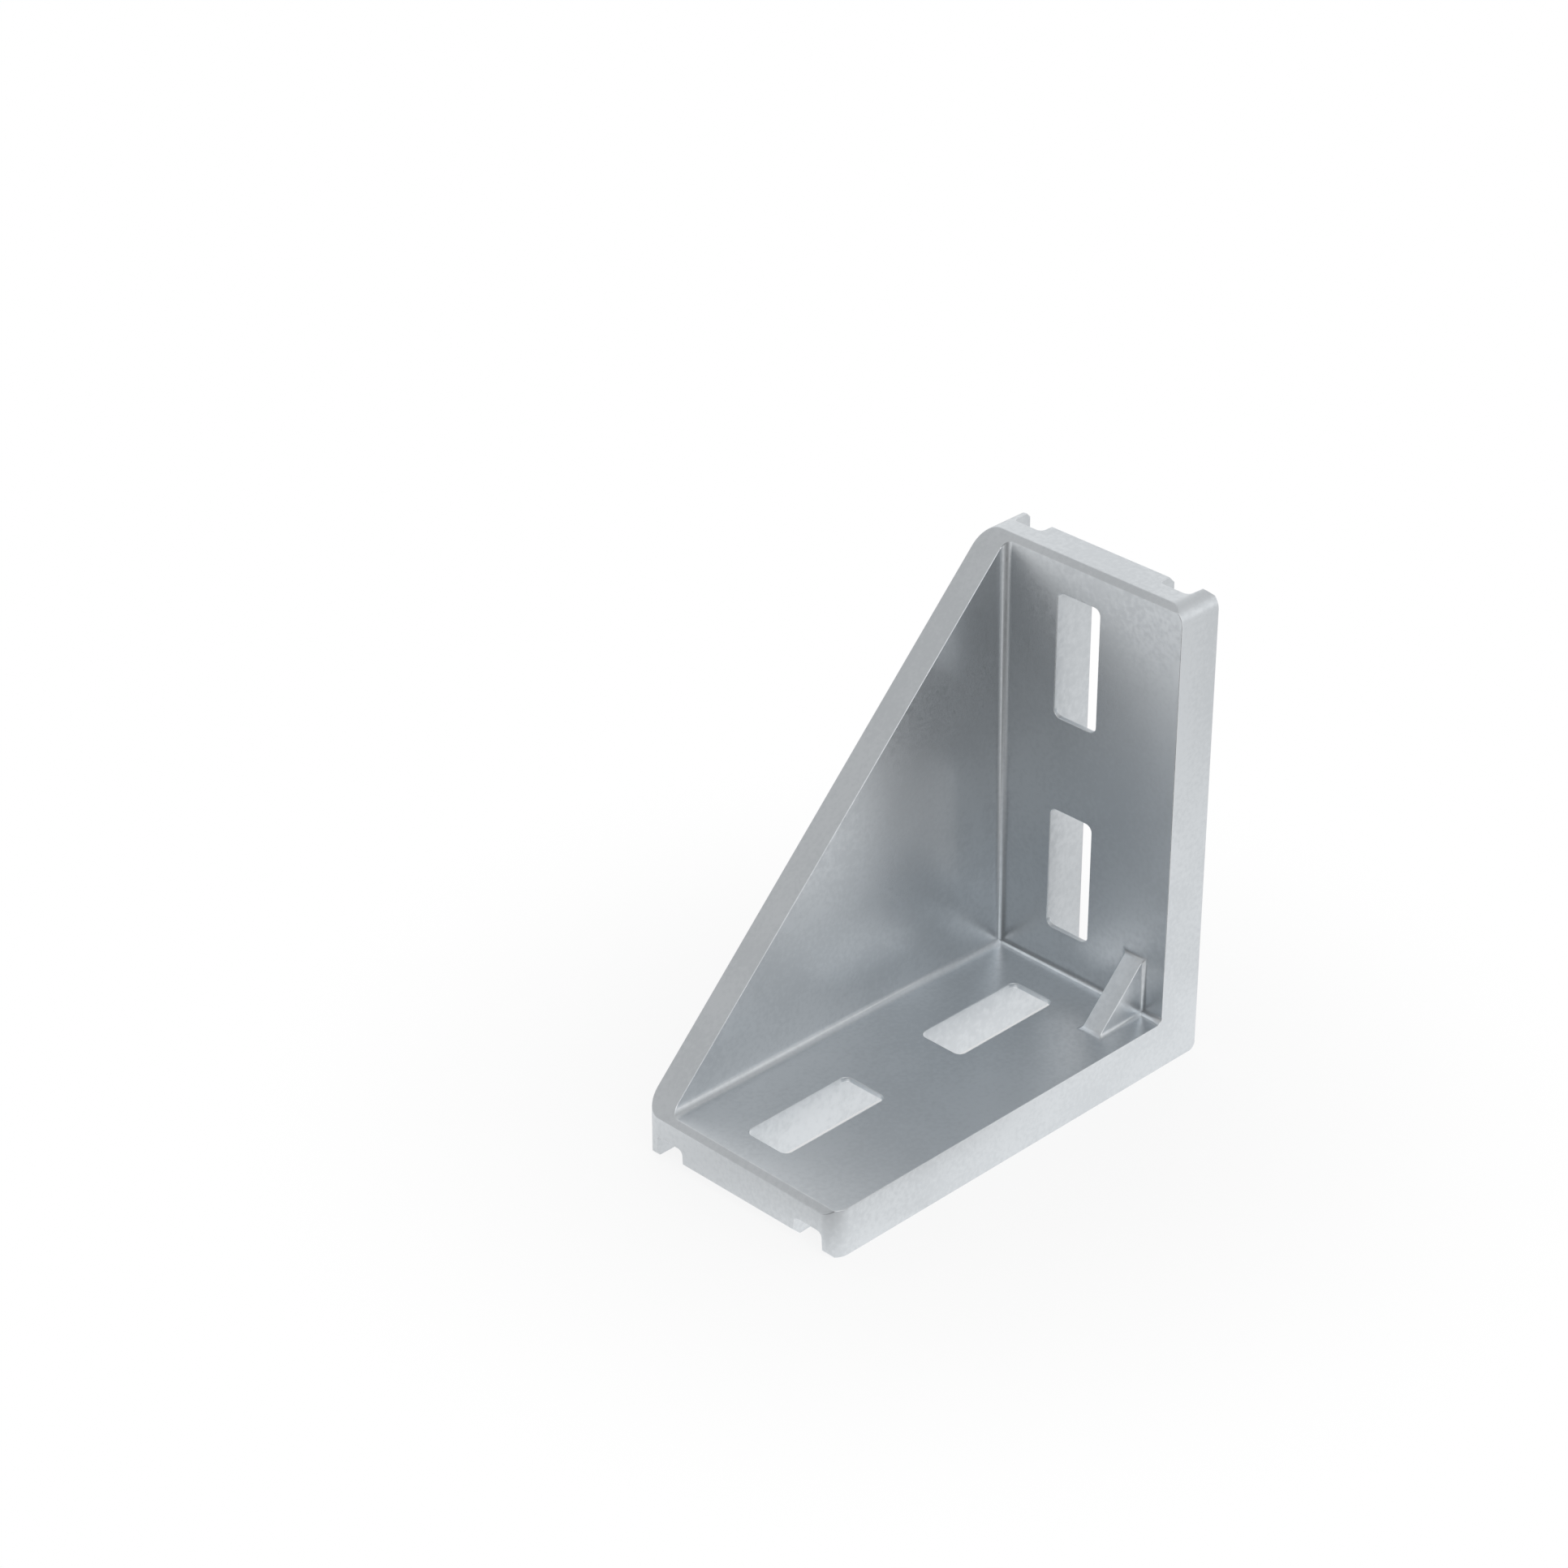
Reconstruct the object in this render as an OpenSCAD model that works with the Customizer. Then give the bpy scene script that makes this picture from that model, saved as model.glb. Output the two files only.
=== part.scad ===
// Corner bracket for T-slotted framing, cast as one piece.
// Two equal legs stand at a right angle. Each has two slots for its screws, hollowed out from
// behind at their heel ends, and a mounting face with two rims, two lengthwise channels and a
// wide pad between them. A full web closes one side, a small rib stiffens the corner beside the
// other, and the sloping edge of the web runs on as a narrow bevel across the ends of both legs.
// The lying leg points along +X, the upright leg rises at the heel, the open side is +Y,
// and the origin lies on the ground under the middle of the bracket.

/* [Legs] */
// Length of each leg, measured over the heel
leg_length = 80; // [76:1:120]
// Width of the legs
width = 40; // [38:1:60]
// Thickness of each leg
leg_thickness = 8.3; // [7:0.1:12]
// Height of the end face, from the mounting face up to the sloping edge
end_height = 7.4; // [5.5:0.1:7.8]
// Radius of the outer corner between the mounting faces
heel_radius = 1.4; // [0.8:0.1:2.5]
// Radius of the inner corner between the legs
inner_radius = 1.2; // [0.6:0.1:3]
// Radius of the corners at the leg ends, seen square to the mounting face
end_radius = 3; // [1:0.1:4]

/* [Slots] */
// Width of each slot
slot_width = 8.4; // [6:0.1:11]
// Length of each slot
slot_length = 21.2; // [14:0.1:24]
// Distance from the heel to the inner slot
slot_heel_gap = 15.6; // [13:0.1:19]
// Distance from the leg's end to the outer slot
slot_end_gap = 5.9; // [5:0.1:12]
// Radius in the corners of the slots
slot_radius = 1.2; // [0.4:0.1:2.5]
// Thickness of the wall at the end of each slot that is nearer to the heel
slot_lip = 0.8; // [0.5:0.1:2]
// Reach of the hollow behind that wall, along the mounting face towards the heel
relief_reach = 10.5; // [9:0.1:11.5]

/* [Web] */
// Thickness of the web at its sloping edge
web_thickness = 5; // [3:0.1:7]
// Growth of the web's thickness towards the heel, in degrees
web_draft = 1.3; // [0.5:0.1:2.5]
// Radius between the web and the legs
web_cove = 1.4; // [0.6:0.1:2.5]

/* [Rib] */
// Thickness of the small rib
rib_thickness = 3.6; // [2:0.1:5]
// Reach of the rib along each leg, from the inner corner
rib_reach = 10; // [6:0.5:14]
// Distance from the open side to the rib
rib_setback = 4.1; // [2:0.1:8]
// Radius between the sides of the rib and the legs
rib_cove = 0.8; // [0.4:0.1:2]
// Radius between the sloping edge of the rib and the legs
rib_toe_radius = 1.6; // [0.5:0.1:3]

/* [Mounting faces] */
// Width of the rim along each side
rim_width = 2.5; // [1.5:0.1:4]
// Width of the pad that carries the slots
pad_width = 23.2; // [20:0.1:25]
// Depth of the channels
channel_depth = 4; // [2:0.1:5]
// Slant of the channel walls, in degrees
channel_draft = 3; // [1:0.5:6]
// Radius in the roots of the channels
channel_radius = 0.9; // [0.4:0.1:1.2]
// How far the pad lies back from the rims
pad_recess = 0.3; // [0.1:0.1:1]
// Bevel on the end of each rim
rim_bevel = 1; // [0.4:0.1:2]
// Bevel on the end of the pad
pad_bevel = 1.4; // [0.6:0.1:2]

/* [Hidden] */

// Smoothness of round surfaces
$fn = 48;
// How far a cutter runs past the face that it opens
cut_over = 1;
// How far an added corner piece reaches into the walls that it joins
sink = 0.6;
// Slant of the web's edge against both legs
mitre = 45;
// Distance of the web's sloping edge from the heel
slope_distance = (leg_length + end_height) * cos(mitre);
// Distance of both sides from the middle of the legs
side = width / 2;
// Thickness that the web would have at the heel
web_root = web_thickness + slope_distance * tan(web_draft);
// Place of the web's inner face where it meets the inner corner of the legs
web_corner_at = web_root - side - 2 * leg_thickness * cos(mitre) * tan(web_draft);
// Turn of the line in which the web's inner face meets a leg
web_turn = atan(tan(web_draft) * cos(mitre));
// Faces of the rib
rib_outer = side - rib_setback;
rib_inner = rib_outer - rib_thickness;
// Distance from the inner corner to the end of the round at the foot of the rib
rib_toe = rib_reach + rib_toe_radius * (sqrt(2) - 1);
// Width of one channel at its mouth, and its middle
channel_width = (width - pad_width) / 2 - rim_width;
channel_at = (pad_width + channel_width) / 2;

// The same shape for the upright leg: X and Z change places
module upright() {
    mirror([1, 0, -1]) children();
}

// A shape on both legs, drawn for the lying one
module on_both_legs() {
    children();
    upright() children();
}

// A shape on both sides of a leg's middle, drawn for the open side
module on_both_sides() {
    children();
    mirror([0, 1, 0]) children();
}

// An outline in X and Z, spread along Y
module across(y_from, y_to) {
    translate([0, y_to, 0]) rotate([90, 0, 0]) linear_extrude(y_to - y_from) children();
}

// An outline in Y and Z, run along X
module along(x_from, x_to) {
    translate([x_from, 0, 0]) rotate([90, 0, 90]) linear_extrude(x_to - x_from) children();
}

// What rounding a square corner takes away, or what filling one adds. The corner is at the
// origin, its inside lies towards +X and +Y, and margin is how far the shape stands outside.
module corner_round(radius, margin) {
    difference() {
        translate([-margin, -margin]) square(radius + margin);
        translate([radius, radius]) circle(radius);
    }
}

// A rectangle round the origin with round corners
module rounded_rectangle(length_x, length_y, radius) {
    difference() {
        square([length_x, length_y], center = true);
        for (mirror_x = [0, 1], mirror_y = [0, 1])
            mirror([mirror_x, 0]) mirror([0, mirror_y])
                translate([-length_x, -length_y] / 2) corner_round(radius, cut_over);
    }
}

// The two legs, seen from the open side
module legs_outline() {
    difference() {
        union() {
            square([leg_length, leg_thickness]);
            square([leg_thickness, leg_length]);
            translate([leg_thickness, leg_thickness]) corner_round(inner_radius, sink);
        }
        corner_round(heel_radius, cut_over);
    }
}

// The web between the legs, and the rounds that join its inner face to them
module web() {
    intersection() {
        across(-side, side) square(leg_length);
        union() {
            rotate([0, -mitre, 0]) translate([0, -side, -leg_length])
                linear_extrude(2 * leg_length)
                    polygon([[0, 0], [slope_distance, 0], [slope_distance, web_thickness], [0, web_root]]);
            on_both_legs()
                translate([leg_thickness, web_corner_at, leg_thickness]) rotate(-web_turn)
                    along(-sink, leg_length) corner_round(web_cove, sink);
        }
    }
}

// The rib, seen from the open side, from the inner corner of the legs
module rib_outline() {
    // where the round at the foot leaves the sloping edge
    slope_point = [rib_toe - rib_toe_radius * cos(mitre), rib_toe_radius * (1 - sin(mitre))];
    difference() {
        polygon([[-sink, -sink], [rib_toe, -sink], [rib_toe, 0], slope_point,
                 [slope_point[1], slope_point[0]], [0, rib_toe], [-sink, rib_toe]]);
        translate([rib_toe, rib_toe_radius]) circle(rib_toe_radius);
        translate([rib_toe_radius, rib_toe]) circle(rib_toe_radius);
    }
}

// The small rib in the inner corner, with rounds along its foot on both legs
module rib() {
    translate([leg_thickness, 0, leg_thickness]) {
        across(rib_inner, rib_outer) rib_outline();
        intersection() {
            across(rib_inner - rib_cove, rib_outer + rib_cove) rib_outline();
            on_both_legs() along(-sink, rib_toe) {
                translate([rib_outer, 0]) corner_round(rib_cove, sink);
                translate([rib_inner, 0]) mirror([1, 0]) corner_round(rib_cove, sink);
            }
        }
    }
}

// One channel, seen from the leg's end, with slanting walls and round roots
module channel_outline() {
    root_z = channel_depth - channel_radius;
    root_y = channel_width / 2 - root_z * tan(channel_draft) - channel_radius / cos(channel_draft);
    wall_y = root_y + channel_radius * cos(channel_draft);
    wall_z = root_z + channel_radius * sin(channel_draft);
    mouth_y = channel_width / 2 + cut_over * tan(channel_draft);
    for (turn = [0, 1]) mirror([turn, 0]) {
        polygon([[-sink, -cut_over], [mouth_y, -cut_over], [wall_y, wall_z], [root_y, channel_depth],
                 [-sink, channel_depth]]);
        translate([root_y, root_z]) circle(channel_radius);
    }
}

// A bevel at the end of a mounting face that lies at the given height
module end_bevel(height, bevel, half_width) {
    across(-half_width, half_width)
        translate([leg_length - bevel, height])
            polygon([[-cut_over, -cut_over], [bevel + cut_over, -cut_over], [bevel + cut_over, bevel + cut_over]]);
}

// All that the mounting face of the lying leg lacks: channels, pad step and end bevels
module mounting_face_cuts() {
    on_both_sides() translate([0, channel_at, 0])
        along(-cut_over, leg_length + cut_over) channel_outline();
    translate([-cut_over, -channel_at, -cut_over])
        cube([leg_length + 2 * cut_over, 2 * channel_at, cut_over + pad_recess]);
    end_bevel(pad_recess, pad_bevel, channel_at);
    end_bevel(0, rim_bevel, side + cut_over);
}

// The hollow behind the heel end of a slot, which widens it towards the mounting face
module slot_relief() {
    lip_z = leg_thickness - slot_lip;
    // how far the slope runs on below the mounting face
    overrun = cut_over * relief_reach / lip_z;
    across(-slot_width / 2, slot_width / 2)
        polygon([[0, lip_z], [-relief_reach - overrun, -cut_over],
                 [slot_length / 2, -cut_over], [slot_length / 2, lip_z]]);
}

// The slots through the lying leg
module slots() {
    for (slot_start = [slot_heel_gap, leg_length - slot_end_gap - slot_length])
        translate([slot_start, 0, 0]) {
            translate([slot_length / 2, 0, -cut_over])
                linear_extrude(leg_thickness + 2 * cut_over)
                    rounded_rectangle(slot_length, slot_width, slot_radius);
            slot_relief();
        }
}

// What rounding the end of the lying leg takes away, seen from above
module end_corner_cuts() {
    on_both_sides() translate([leg_length, side, -cut_over]) rotate(180)
        linear_extrude(leg_length) corner_round(end_radius, cut_over);
}

// What lies past the web's sloping edge
module slope_cut() {
    rotate([0, -mitre, 0]) translate([slope_distance, -side - cut_over, -leg_length])
        cube([leg_length, width + 2 * cut_over, 2 * leg_length]);
}

module corner_bracket() {
    color("lightslategray")
        translate([-leg_length / 2, 0, 0])
            difference() {
                union() {
                    across(-side, side) legs_outline();
                    web();
                    rib();
                }
                slope_cut();
                on_both_legs() {
                    end_corner_cuts();
                    slots();
                    mounting_face_cuts();
                }
            }
}

corner_bracket();
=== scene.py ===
import math

import bmesh
import bpy
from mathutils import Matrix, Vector


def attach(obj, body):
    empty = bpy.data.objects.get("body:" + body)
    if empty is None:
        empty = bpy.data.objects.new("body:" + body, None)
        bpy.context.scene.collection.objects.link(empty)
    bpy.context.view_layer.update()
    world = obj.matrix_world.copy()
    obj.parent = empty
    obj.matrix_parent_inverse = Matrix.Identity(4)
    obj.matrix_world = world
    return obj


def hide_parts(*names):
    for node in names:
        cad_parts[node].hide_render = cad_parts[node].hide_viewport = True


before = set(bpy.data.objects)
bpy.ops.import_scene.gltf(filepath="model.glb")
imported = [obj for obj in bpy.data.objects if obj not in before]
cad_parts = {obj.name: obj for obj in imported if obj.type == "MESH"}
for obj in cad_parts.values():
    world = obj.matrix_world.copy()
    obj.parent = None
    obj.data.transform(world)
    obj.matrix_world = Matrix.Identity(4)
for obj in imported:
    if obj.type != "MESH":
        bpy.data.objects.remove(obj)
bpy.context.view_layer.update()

# The bracket: one right-angle corner bracket, die cast in aluminium in one piece and left as it
# comes from the die. All its outer edges are slightly round, because the die and the tumbling
# after it leave no sharp edge.
EDGE_ROUND = 0.00013
ROUND_STEPS = 3
ROUND_PROFILE = 0.5
OUTER_EDGE_ANGLE = math.radians(28)
CREASE_ANGLE = math.radians(40)
FLATS_WEIGHT = 80
SAME_POINT = 0.00006
HEEL_AT = -0.04
HEEL_ROUND = 0.0014
LEG_THICKNESS = 0.0083
# Where the hollows behind the slots' ends lie, and how their faces are turned
HOLLOW_FROM = 0.0045
HOLLOW_SIDEWAYS = 0.1
HOLLOW_BACK = -0.7
HOLLOW_UP = 0.4
LIP_BACK = -0.5


def is_hollow(face):
    """Whether a face belongs to the hollow behind a slot's end, where the thin lip stays sharp."""
    centre = face.calc_center_median()
    back, up = sorted((face.normal.x, face.normal.z))
    if abs(face.normal.y) < HOLLOW_SIDEWAYS and back < HOLLOW_BACK and up > HOLLOW_UP:
        return True
    depths = ((face.normal.z, centre.z), (face.normal.x, centre.x - HEEL_AT))
    return any(turn < LIP_BACK and HOLLOW_FROM < depth < LEG_THICKNESS for turn, depth in depths)


def is_outer_edge(edge):
    """Whether an edge stands out and is one that the tumbling rounds."""
    if not edge.is_manifold or edge.calc_face_angle_signed(0) < OUTER_EDGE_ANGLE:
        return False
    if all(max(vert.co.x - HEEL_AT, vert.co.z) < HEEL_ROUND for vert in edge.verts):
        return False
    return not any(is_hollow(face) for face in edge.link_faces)


def rounded_casting(name, solid):
    """A copy of the solid's surface with every outer edge rounded."""
    shell = bmesh.new()
    shell.from_mesh(solid.data)
    bmesh.ops.remove_doubles(shell, verts=shell.verts, dist=SAME_POINT)
    shell.normal_update()
    outer = [edge for edge in shell.edges if is_outer_edge(edge)]
    bmesh.ops.bevel(
        shell,
        geom=outer,
        offset=EDGE_ROUND,
        offset_type="OFFSET",
        segments=ROUND_STEPS,
        profile=ROUND_PROFILE,
        affect="EDGES",
        clamp_overlap=False,
    )
    for face in shell.faces:
        face.smooth = True
    for edge in shell.edges:
        edge.smooth = edge.is_manifold and edge.calc_face_angle(0) < CREASE_ANGLE
    mesh = bpy.data.meshes.new(name)
    shell.to_mesh(mesh)
    shell.free()
    casting = bpy.data.objects.new(name, mesh)
    bpy.context.scene.collection.objects.link(casting)
    flats = casting.modifiers.new("flats stay flat", "WEIGHTED_NORMAL")
    flats.keep_sharp = True
    flats.weight = FLATS_WEIGHT
    return casting


bracket = rounded_casting("bracket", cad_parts["corner_bracket"])

# The skin of the casting: bare aluminium, satin and slightly bluish, with a fine grain from the
# die's surface, a faint mottling of a millimetre or so and broad soft flow marks. Along its edges,
# in the hollows' creases too, a highlight is painted into its colour, over a little real burnish
# from tumbling that leaves the metal smoother there.
ALUMINIUM = (0.715, 0.745, 0.77, 1)
ALUMINIUM_DULL = (0.67, 0.70, 0.725, 1)
# The colour along the edges: partly burnish, partly a painted highlight
ALUMINIUM_BURNISH_AND_HIGHLIGHT = (0.90, 0.92, 0.94, 1)
# Each mark's waves in a metre, its detail and the height of its relief in metres
MARKS = {
    "flow": (70, 2, 0.00001),
    "mottle": (1300, 3, 0.000006),
    "grain": (3600, 2, 0.000002),
}
BLOTCH_FROM = 0.4
BLOTCH_TO = 0.6
MOTTLE_FROM = 0.3
MOTTLE_TO = 0.7
ROUGHEST = 0.38
SMOOTHEST = 0.30
# How far from an edge the painted highlight and the burnish reach, and where they are full and where
# they fade out
BURNISH_AND_HIGHLIGHT_REACH = 0.00022
BURNISH_AND_HIGHLIGHT_SAMPLES = 6
BURNISH_AND_HIGHLIGHT_FULL = 0.94
BURNISH_AND_HIGHLIGHT_NONE = 0.998
BURNISH_SMOOTHER = 0.08
# The sockets of Blender's Mix node that a colour uses
MIX_SHARE = 0
MIX_FIRST = 6
MIX_SECOND = 7
MIX_RESULT = 2


def ranged(tree, value, from_min, from_max, to_min, to_max):
    """The value carried smoothly from one range into another."""
    node = tree.nodes.new("ShaderNodeMapRange")
    node.interpolation_type = "SMOOTHSTEP"
    node.inputs["From Min"].default_value = from_min
    node.inputs["From Max"].default_value = from_max
    node.inputs["To Min"].default_value = to_min
    node.inputs["To Max"].default_value = to_max
    tree.links.new(value, node.inputs["Value"])
    return node.outputs["Result"]


def combined(tree, operation, first, second):
    """Two values worked into one; either may be a plain number."""
    node = tree.nodes.new("ShaderNodeMath")
    node.operation = operation
    for slot, value in enumerate((first, second)):
        if isinstance(value, (int, float)):
            node.inputs[slot].default_value = value
        else:
            tree.links.new(value, node.inputs[slot])
    return node.outputs[0]


def measured(tree, operation, first, second=(0, 0, 0)):
    """One number from two directions or places; the second may be plain numbers."""
    node = tree.nodes.new("ShaderNodeVectorMath")
    node.operation = operation
    tree.links.new(first, node.inputs[0])
    if isinstance(second, tuple):
        node.inputs[1].default_value = second
    else:
        tree.links.new(second, node.inputs[1])
    return node.outputs["Value"]


def mixed_colour(tree, share, first, second):
    """The first colour turning into the second by a share; the first may be plain numbers."""
    node = tree.nodes.new("ShaderNodeMix")
    node.data_type = "RGBA"
    tree.links.new(share, node.inputs[MIX_SHARE])
    if isinstance(first, tuple):
        node.inputs[MIX_FIRST].default_value = first
    else:
        tree.links.new(first, node.inputs[MIX_FIRST])
    node.inputs[MIX_SECOND].default_value = second
    return node.outputs[MIX_RESULT]


aluminium = bpy.data.materials.new("cast_aluminium")
aluminium.use_nodes = True
tree = aluminium.node_tree
skin = tree.nodes["Principled BSDF"]
skin.inputs["Metallic"].default_value = 1

on_bracket = tree.nodes.new("ShaderNodeTexCoord").outputs["Object"]
marks = {}
surface = None
for mark, (per_metre, detail, height) in MARKS.items():
    noise = tree.nodes.new("ShaderNodeTexNoise")
    noise.inputs["Scale"].default_value = per_metre
    noise.inputs["Detail"].default_value = detail
    tree.links.new(on_bracket, noise.inputs["Vector"])
    marks[mark] = noise.outputs["Fac"]
    bump = tree.nodes.new("ShaderNodeBump")
    bump.inputs["Strength"].default_value = 1
    bump.inputs["Distance"].default_value = height
    tree.links.new(marks[mark], bump.inputs["Height"])
    if surface:
        tree.links.new(surface, bump.inputs["Normal"])
    surface = bump.outputs["Normal"]
tree.links.new(surface, skin.inputs["Normal"])

# Near an edge, outer or in a hollow, the softened surface leans away from the true one; there a
# highlight is painted into the colour and the metal is burnished a little smoother
softened = tree.nodes.new("ShaderNodeBevel")
softened.samples = BURNISH_AND_HIGHLIGHT_SAMPLES
softened.inputs["Radius"].default_value = BURNISH_AND_HIGHLIGHT_REACH
true_surface = tree.nodes.new("ShaderNodeNewGeometry")
agreement = measured(tree, "DOT_PRODUCT", softened.outputs["Normal"], true_surface.outputs["Normal"])
burnish_and_highlight = ranged(tree, agreement, BURNISH_AND_HIGHLIGHT_FULL, BURNISH_AND_HIGHLIGHT_NONE, 1, 0)

half_flow = combined(tree, "MULTIPLY", marks["flow"], 0.5)
half_mottle = combined(tree, "MULTIPLY", marks["mottle"], 0.5)
blotches = combined(tree, "ADD", half_flow, half_mottle)
blotches = ranged(tree, blotches, BLOTCH_FROM, BLOTCH_TO, 0, 1)
colour = mixed_colour(tree, blotches, ALUMINIUM_DULL, ALUMINIUM)
# Along the edges a highlight is painted into the colour, over a little real burnish
colour = mixed_colour(tree, burnish_and_highlight, colour, ALUMINIUM_BURNISH_AND_HIGHLIGHT)
tree.links.new(colour, skin.inputs["Base Color"])

roughness = ranged(tree, marks["mottle"], MOTTLE_FROM, MOTTLE_TO, ROUGHEST, SMOOTHEST)
smoother = combined(tree, "MULTIPLY", burnish_and_highlight, BURNISH_SMOOTHER)
roughness = combined(tree, "SUBTRACT", roughness, smoother)
tree.links.new(roughness, skin.inputs["Roughness"])

bracket.data.materials.append(aluminium)
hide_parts("corner_bracket")
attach(bracket, "root")

# The floor: a white sheet of paper under the bracket, far wider than the picture. The camera sees
# it white, with a faint shadow round the bracket. The metal mirrors soft dark and light patches
# on it instead, which stand in for the cards and lamps round a studio's table.
FLOOR_SIZE = 8
PAPER = (0.95, 0.95, 0.95, 1)
SHADOW_SHARE = 0.15
SHADOW_FROM = 0.03
SHADOW_REACH = 0.11
# Half the width of the ground that the bracket hides, where its shade is full and where it ends
FOOTPRINT = {"X": (0.034, 0.037), "Y": (0.010, 0.014)}
UNDER_SHADE = 0.35
FLOOR_LEVEL = 0.81
FLOOR_DARKEST = 0.05
# Each patch's middle and reach in metres, and how much lighter or darker than the floor it is
FLOOR_PATCHES = (
    ((0.005, 0.070), 0.060, -0.86),
    ((0.103, 0.069), 0.130, -0.94),
    ((-0.065, 0.068), 0.078, 0.18),
    ((0.074, -0.053), 0.070, 0.26),
    ((0.027, 0.020), 0.044, 0.57),
    ((-0.025, 0.016), 0.045, 0.53),
    ((-0.070, -0.045), 0.095, -0.5),
)

bpy.ops.mesh.primitive_plane_add(size=FLOOR_SIZE, location=(0, 0, 0))
floor = bpy.context.object
floor.name = "floor"
paper = bpy.data.materials.new("white_paper")
paper.use_nodes = True
tree = paper.node_tree
tree.nodes.clear()
shown = tree.nodes.new("ShaderNodeOutputMaterial")
sheet = tree.nodes.new("ShaderNodeBsdfDiffuse")
sheet.inputs["Color"].default_value = PAPER
white = tree.nodes.new("ShaderNodeEmission")
rays = tree.nodes.new("ShaderNodeLightPath").outputs
on_floor = tree.nodes.new("ShaderNodeTexCoord").outputs["Object"]

level = FLOOR_LEVEL
for (x, y), reach, change in FLOOR_PATCHES:
    apart = measured(tree, "DISTANCE", on_floor, (x, y, 0))
    level = combined(tree, "ADD", level, ranged(tree, apart, 0, reach, change, 0))
level = combined(tree, "MAXIMUM", level, FLOOR_DARKEST)
level = combined(tree, "MINIMUM", level, 1)
level = combined(tree, "MAXIMUM", level, rays["Is Camera Ray"])
tree.links.new(level, white.inputs["Strength"])

from_middle = measured(tree, "LENGTH", on_floor)
unshaded = ranged(tree, from_middle, SHADOW_FROM, SHADOW_REACH, 1 - SHADOW_SHARE, 1)
floor_axes = tree.nodes.new("ShaderNodeSeparateXYZ")
tree.links.new(on_floor, floor_axes.inputs[0])
under = 1
for axis, (inside, outside) in FOOTPRINT.items():
    off_middle = combined(tree, "ABSOLUTE", floor_axes.outputs[axis], 0)
    under = combined(tree, "MULTIPLY", under, ranged(tree, off_middle, inside, outside, 1, 0))
under_shade = combined(tree, "MULTIPLY", under, UNDER_SHADE)
unshaded = combined(tree, "SUBTRACT", unshaded, under_shade)

shining = combined(tree, "MULTIPLY", rays["Is Camera Ray"], unshaded)
shining = combined(tree, "MAXIMUM", shining, rays["Is Glossy Ray"])
shining = combined(tree, "MAXIMUM", shining, rays["Is Transmission Ray"])
blend = tree.nodes.new("ShaderNodeMixShader")
tree.links.new(shining, blend.inputs[0])
tree.links.new(sheet.outputs[0], blend.inputs[1])
tree.links.new(white.outputs[0], blend.inputs[2])
tree.links.new(blend.outputs[0], shown.inputs["Surface"])
floor.data.materials.append(paper)

# The light: a white room with no lamp of its own, brighter on the sides where a studio's soft
# lamps would stand and dimmer between them.
ROOM_LEVEL = 0.72
ROOM_DARKEST = 0.03
# Each side's azimuth, height and spread in degrees, and how much brighter or dimmer it is
ROOM_SIDES = (
    (66, 46, 35, 0.85),
    (26, 8, 46, -0.71),
    (-60, 53, 57, -0.16),
    (164, 57, 56, -0.25),
    (225, 31, 64, 0.25),
    (155, 4, 50, 0.40),
)

world = bpy.data.worlds.new("white_room")
world.use_nodes = True
tree = world.node_tree
room = tree.nodes["Background"]
room.inputs["Strength"].default_value = 1.0
outwards = tree.nodes.new("ShaderNodeTexCoord").outputs["Generated"]
level = ROOM_LEVEL
for azimuth, height, spread, change in ROOM_SIDES:
    turn = math.radians(azimuth)
    rise = math.radians(height)
    flat = math.cos(rise)
    side = (flat * math.cos(turn), flat * math.sin(turn), math.sin(rise))
    towards = measured(tree, "DOT_PRODUCT", outwards, side)
    rim = math.cos(math.radians(spread))
    level = combined(tree, "ADD", level, ranged(tree, towards, rim, 1, 0, change))
level = combined(tree, "MAXIMUM", level, ROOM_DARKEST)
tree.links.new(level, room.inputs["Color"])
bpy.context.scene.world = world
bpy.context.scene.view_settings.view_transform = "Standard"

# The camera: a long lens at the photograph's place, which looks down on the open side of the
# bracket from between the directions of its legs.
CAMERA_AT = (0.40534, 0.37715, 0.37473)
CAMERA_AZIMUTH = math.radians(45.160)
CAMERA_HEIGHT = math.radians(29.982)
LENS_LENGTH = 100
SENSOR_WIDTH = 36
NEAREST_SEEN = 0.01
FARTHEST_SEEN = 20

lens = bpy.data.cameras.new("camera")
lens.lens = LENS_LENGTH
lens.sensor_width = SENSOR_WIDTH
lens.clip_start = NEAREST_SEEN
lens.clip_end = FARTHEST_SEEN
camera = bpy.data.objects.new("camera", lens)
bpy.context.scene.collection.objects.link(camera)
bpy.context.scene.camera = camera
camera.location = CAMERA_AT
flat = math.cos(CAMERA_HEIGHT)
looking = Vector((
    -flat * math.cos(CAMERA_AZIMUTH),
    -flat * math.sin(CAMERA_AZIMUTH),
    -math.sin(CAMERA_HEIGHT),
))
camera.rotation_euler = looking.to_track_quat("-Z", "Y").to_euler()
